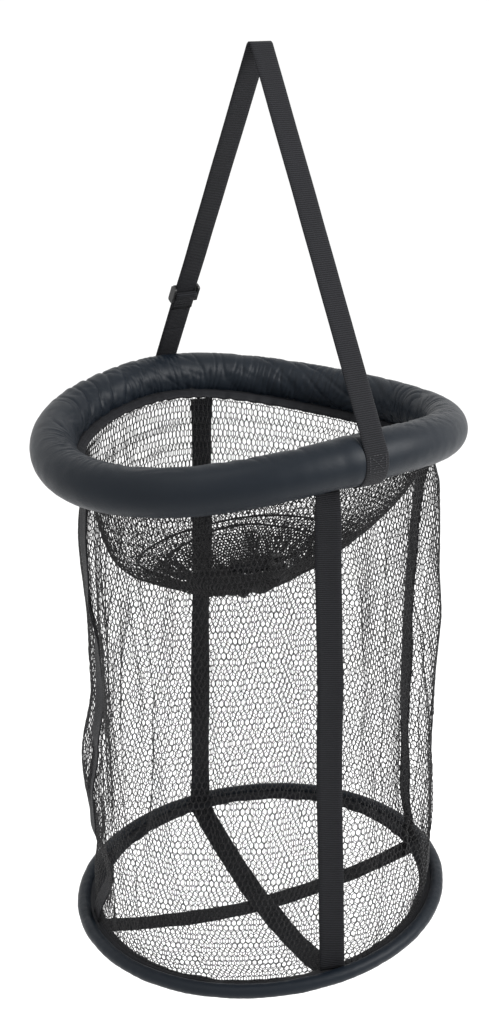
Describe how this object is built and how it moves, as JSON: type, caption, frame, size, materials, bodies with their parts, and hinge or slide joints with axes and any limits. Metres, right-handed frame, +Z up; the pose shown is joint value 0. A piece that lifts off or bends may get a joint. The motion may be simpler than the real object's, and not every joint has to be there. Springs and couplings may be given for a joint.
{
  "type": "hanging keep net",
  "caption": "Hanging keep net with a padded float ring, mesh sides, weighted base ring, drawcord collar in the mouth and an adjustable carrying strap.",
  "frame": {"origin": "the hang point, at the top of the carrying strap, under the fold that goes over a hook", "axes": "+Z up, along the net; the strap lies in the XZ plane, with its slider on the -X leg; +Y across the strap"},
  "size_m": [0.432, 0.4682, 0.9535],
  "materials": {
    "netting": "knotless hexagon-mesh polyester netting",
    "webbing": "ribbed woven polypropylene webbing",
    "thread": "bonded sewing thread",
    "foam": "closed-cell foam, light and soft",
    "dowel": "dense foam plug",
    "coated_cover": "satin coated fabric",
    "binding": "woven edge tape",
    "spring_wire": "bright spring steel wire",
    "ferrule": "crimped brass tube",
    "hose": "soft rubber hose",
    "cord": "braided polyester cord",
    "lock_plastic": "moulded nylon",
    "slider_plastic": "moulded acetal"
  },
  "bodies": {
    "strap": {"strap_webbing": "webbing", "strap_tab": "webbing"},
    "slider": {"strap_slider": "slider_plastic", "strap_tab_stitching": "thread"},
    "base": {"base_cross_stitching": "thread", "base_net": "netting", "base_ring_binding": "binding", "base_ring_ferrule": "ferrule", "base_ring_hose": "hose", "base_ring_sleeve": "coated_cover", "base_ring_wire": "spring_wire", "base_webbing_cross": "webbing", "base_webbing_long": "webbing"},
    "collar_mouth": {"collar_hem": "binding", "drawcord_hem_run": "cord", "drawcord_loop": "cord"},
    "cord_lock": {"cord_lock_body": "lock_plastic", "cord_lock_spring": "spring_wire"},
    "cord_lock_plunger": {"cord_lock_plunger": "lock_plastic"},
    "float": {"collar_net": "netting", "float_core_dowel": "dowel", "float_cover": "coated_cover", "float_cover_band": "coated_cover", "float_foam_core": "foam", "float_seam_binding": "binding", "side_net_back_left": "netting", "side_net_back_right": "netting", "side_net_front_left": "netting", "side_net_front_right": "netting", "side_webbing_back": "webbing", "side_webbing_front": "webbing", "side_webbing_left": "webbing", "side_webbing_right": "webbing", "strap_end_back": "webbing", "strap_end_front": "webbing", "strap_end_stitching": "thread", "strap_flex_back": "webbing", "strap_flex_front": "webbing"}
  },
  "joints": [
    {"name": "strap_swing", "type": "hinge", "parent": "strap", "child": "float", "pos_m": [0, 0, -0.3263], "axis": [1, 0, 0], "range_deg": [-90, 90], "deforming": ["strap_flex_front", "strap_flex_back"]},
    {"name": "slider_slide", "type": "slide", "parent": "strap", "child": "slider", "axis": [0.493, 0, 0.87], "range_m": [0, 0.025], "deforming": ["strap_tab"]},
    {"name": "net_collapse", "type": "slide", "parent": "float", "child": "base", "axis": [0, 0, 1], "range_m": [0, 0.46], "deforming": ["side_net_back_left", "side_net_back_right", "side_net_front_left", "side_net_front_right", "side_webbing_back", "side_webbing_front", "side_webbing_left", "side_webbing_right", "collar_net"]},
    {"name": "collar_lift", "type": "slide", "parent": "float", "child": "collar_mouth", "axis": [0, 0, 1], "range_m": [0, 0.092]},
    {"name": "cord_lock_slide", "type": "slide", "parent": "collar_mouth", "child": "cord_lock", "axis": [0.3875, 0.9219, 0], "range_m": [0, 0.012]},
    {"name": "cord_lock_press", "type": "slide", "parent": "cord_lock", "child": "cord_lock_plunger", "axis": [0, 0, -1], "range_m": [0, 0.003], "stiffness_N_per_m": 400, "springref_m": -0.001, "deforming": ["cord_lock_spring"]}
  ],
  "couplings": [
    {"joint": "collar_lift", "follows": "net_collapse", "ratio": 0.2}
  ]
}
